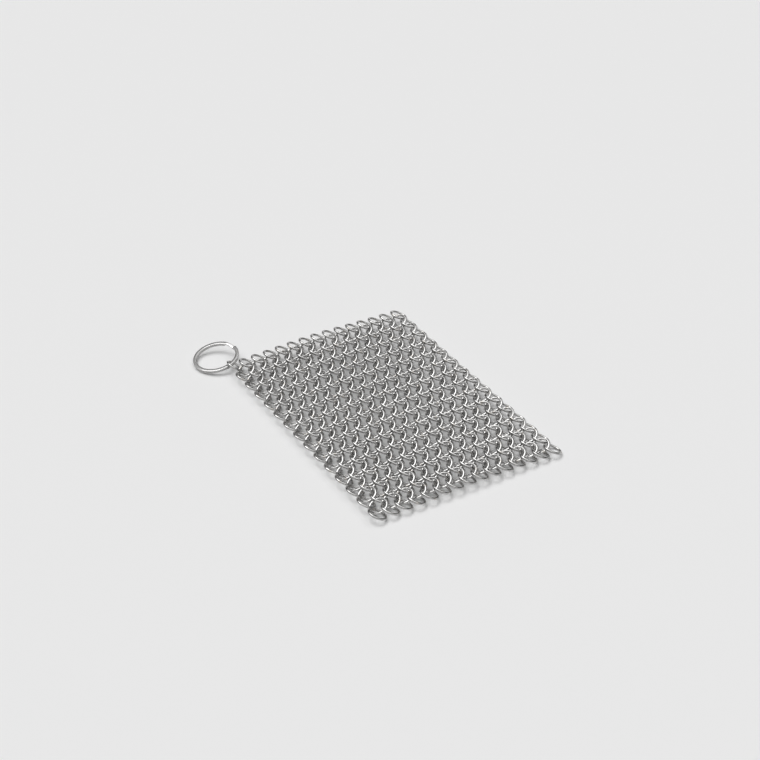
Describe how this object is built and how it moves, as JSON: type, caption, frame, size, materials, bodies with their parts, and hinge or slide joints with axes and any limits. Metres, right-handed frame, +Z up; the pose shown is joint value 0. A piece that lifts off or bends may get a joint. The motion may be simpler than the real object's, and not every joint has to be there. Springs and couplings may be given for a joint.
{
  "type": "chain mail pot scrubber",
  "caption": "Flexible rectangular sheet of interlinked steel wire rings for scrubbing pots and pans, with a two-turn split ring at one corner to hang it by.",
  "frame": {"origin": "middle of the woven sheet's underside, on the surface that the sheet lies on", "axes": "+X along the ring rows, away from the corner with the split ring; +Y across the rows, away from that corner; +Z up from the surface"},
  "size_m": [0.1707, 0.1191, 0.0062],
  "materials": {
    "ring_wire": "polished",
    "split_ring_wire": "polished"
  },
  "bodies": {
    "ring_row_01": {"ring_row_01": "ring_wire"},
    "ring_row_02": {"ring_row_02": "ring_wire"},
    "ring_row_03": {"ring_row_03": "ring_wire"},
    "ring_row_04": {"ring_row_04": "ring_wire"},
    "ring_row_05": {"ring_row_05": "ring_wire"},
    "ring_row_06": {"ring_row_06": "ring_wire"},
    "ring_row_07": {"ring_row_07": "ring_wire"},
    "ring_row_08": {"ring_row_08": "ring_wire"},
    "ring_row_09": {"ring_row_09": "ring_wire"},
    "ring_row_10": {"ring_row_10": "ring_wire"},
    "ring_row_11": {"ring_row_11": "ring_wire"},
    "ring_row_12": {"ring_row_12": "ring_wire"},
    "ring_row_13": {"ring_row_13": "ring_wire"},
    "ring_row_14": {"ring_row_14": "ring_wire"},
    "ring_row_15": {"ring_row_15": "ring_wire"},
    "ring_row_16": {"ring_row_16": "ring_wire"},
    "ring_row_17": {"ring_row_17": "ring_wire"},
    "ring_row_18": {"ring_row_18": "ring_wire"},
    "ring_row_19": {"ring_row_19": "ring_wire"},
    "ring_row_20": {"ring_row_20": "ring_wire"},
    "ring_row_21": {"ring_row_21": "ring_wire"},
    "ring_row_22": {"ring_row_22": "ring_wire"},
    "ring_row_23": {"ring_row_23": "ring_wire"},
    "ring_row_24": {"ring_row_24": "ring_wire"},
    "ring_row_25": {"ring_row_25": "ring_wire"},
    "ring_row_26": {"ring_row_26": "ring_wire"},
    "ring_row_27": {"ring_row_27": "ring_wire"},
    "ring_row_28": {"ring_row_28": "ring_wire"},
    "ring_row_29": {"ring_row_29": "ring_wire"},
    "corner_ring": {"corner_ring": "ring_wire"},
    "split_ring": {"split_ring": "split_ring_wire"}
  },
  "joints": [
    {"name": "corner_ring_swing", "type": "hinge", "parent": "ring_row_02", "child": "corner_ring", "pos_m": [-0.06958, -0.04706, 0.00169], "axis": [-0.4067, 0.828, 0.3861], "range_deg": [-40, 12]},
    {"name": "split_ring_swing", "type": "hinge", "parent": "corner_ring", "child": "split_ring", "pos_m": [-0.07276, -0.04978, 0.00316], "axis": [-0.4148, 0.8055, 0.4233], "range_deg": [-10, 120]},
    {"name": "fold_01_02", "type": "hinge", "parent": "ring_row_02", "child": "ring_row_01", "pos_m": [0, -0.04722, 0.00161], "axis": [-1, 0, 0], "range_deg": [-12, 35]},
    {"name": "fold_02_03", "type": "hinge", "parent": "ring_row_03", "child": "ring_row_02", "pos_m": [0, -0.04373, 0.00327], "axis": [1, 0, 0], "range_deg": [-12, 35]},
    {"name": "fold_03_04", "type": "hinge", "parent": "ring_row_04", "child": "ring_row_03", "pos_m": [0, -0.04023, 0.0017], "axis": [-1, 0, 0], "range_deg": [-12, 35]},
    {"name": "fold_04_05", "type": "hinge", "parent": "ring_row_05", "child": "ring_row_04", "pos_m": [0, -0.03673, 0.00343], "axis": [1, 0, 0], "range_deg": [-12, 35]},
    {"name": "fold_05_06", "type": "hinge", "parent": "ring_row_06", "child": "ring_row_05", "pos_m": [0, -0.03323, 0.00191], "axis": [-1, 0, 0], "range_deg": [-12, 35]},
    {"name": "fold_06_07", "type": "hinge", "parent": "ring_row_07", "child": "ring_row_06", "pos_m": [0, -0.02973, 0.00367], "axis": [1, 0, 0], "range_deg": [-12, 35]},
    {"name": "fold_07_08", "type": "hinge", "parent": "ring_row_08", "child": "ring_row_07", "pos_m": [0, -0.02624, 0.00218], "axis": [-1, 0, 0], "range_deg": [-12, 35]},
    {"name": "fold_08_09", "type": "hinge", "parent": "ring_row_09", "child": "ring_row_08", "pos_m": [0, -0.02274, 0.00396], "axis": [1, 0, 0], "range_deg": [-12, 35]},
    {"name": "fold_09_10", "type": "hinge", "parent": "ring_row_10", "child": "ring_row_09", "pos_m": [0, -0.01924, 0.00247], "axis": [-1, 0, 0], "range_deg": [-12, 35]},
    {"name": "fold_10_11", "type": "hinge", "parent": "ring_row_11", "child": "ring_row_10", "pos_m": [0, -0.01574, 0.00423], "axis": [1, 0, 0], "range_deg": [-12, 35]},
    {"name": "fold_11_12", "type": "hinge", "parent": "ring_row_12", "child": "ring_row_11", "pos_m": [0, -0.01224, 0.00271], "axis": [-1, 0, 0], "range_deg": [-12, 35]},
    {"name": "fold_12_13", "type": "hinge", "parent": "ring_row_13", "child": "ring_row_12", "pos_m": [0, -0.00875, 0.00443], "axis": [1, 0, 0], "range_deg": [-12, 35]},
    {"name": "fold_13_14", "type": "hinge", "parent": "ring_row_14", "child": "ring_row_13", "pos_m": [0, -0.00525, 0.00286], "axis": [-1, 0, 0], "range_deg": [-12, 35]},
    {"name": "fold_14_15", "type": "hinge", "parent": "ring_row_15", "child": "ring_row_14", "pos_m": [0, -0.00175, 0.00452], "axis": [1, 0, 0], "range_deg": [-12, 35]},
    {"name": "fold_15_16", "type": "hinge", "parent": "ring_row_15", "child": "ring_row_16", "pos_m": [0, 0.00175, 0.00289], "axis": [1, 0, 0], "range_deg": [-12, 35]},
    {"name": "fold_16_17", "type": "hinge", "parent": "ring_row_16", "child": "ring_row_17", "pos_m": [0, 0.00525, 0.00449], "axis": [-1, 0, 0], "range_deg": [-12, 35]},
    {"name": "fold_17_18", "type": "hinge", "parent": "ring_row_17", "child": "ring_row_18", "pos_m": [0, 0.00875, 0.0028], "axis": [1, 0, 0], "range_deg": [-12, 35]},
    {"name": "fold_18_19", "type": "hinge", "parent": "ring_row_18", "child": "ring_row_19", "pos_m": [0, 0.01224, 0.00434], "axis": [-1, 0, 0], "range_deg": [-12, 35]},
    {"name": "fold_19_20", "type": "hinge", "parent": "ring_row_19", "child": "ring_row_20", "pos_m": [0, 0.01574, 0.0026], "axis": [1, 0, 0], "range_deg": [-12, 35]},
    {"name": "fold_20_21", "type": "hinge", "parent": "ring_row_20", "child": "ring_row_21", "pos_m": [0, 0.01924, 0.0041], "axis": [-1, 0, 0], "range_deg": [-12, 35]},
    {"name": "fold_21_22", "type": "hinge", "parent": "ring_row_21", "child": "ring_row_22", "pos_m": [0, 0.02274, 0.00232], "axis": [1, 0, 0], "range_deg": [-12, 35]},
    {"name": "fold_22_23", "type": "hinge", "parent": "ring_row_22", "child": "ring_row_23", "pos_m": [0, 0.02624, 0.00381], "axis": [-1, 0, 0], "range_deg": [-12, 35]},
    {"name": "fold_23_24", "type": "hinge", "parent": "ring_row_23", "child": "ring_row_24", "pos_m": [0, 0.02973, 0.00204], "axis": [1, 0, 0], "range_deg": [-12, 35]},
    {"name": "fold_24_25", "type": "hinge", "parent": "ring_row_24", "child": "ring_row_25", "pos_m": [0, 0.03323, 0.00354], "axis": [-1, 0, 0], "range_deg": [-12, 35]},
    {"name": "fold_25_26", "type": "hinge", "parent": "ring_row_25", "child": "ring_row_26", "pos_m": [0, 0.03673, 0.00179], "axis": [1, 0, 0], "range_deg": [-12, 35]},
    {"name": "fold_26_27", "type": "hinge", "parent": "ring_row_26", "child": "ring_row_27", "pos_m": [0, 0.04023, 0.00334], "axis": [-1, 0, 0], "range_deg": [-12, 35]},
    {"name": "fold_27_28", "type": "hinge", "parent": "ring_row_27", "child": "ring_row_28", "pos_m": [0, 0.04373, 0.00164], "axis": [1, 0, 0], "range_deg": [-12, 35]},
    {"name": "fold_28_29", "type": "hinge", "parent": "ring_row_28", "child": "ring_row_29", "pos_m": [0, 0.04722, 0.00324], "axis": [-1, 0, 0], "range_deg": [-12, 35]}
  ]
}
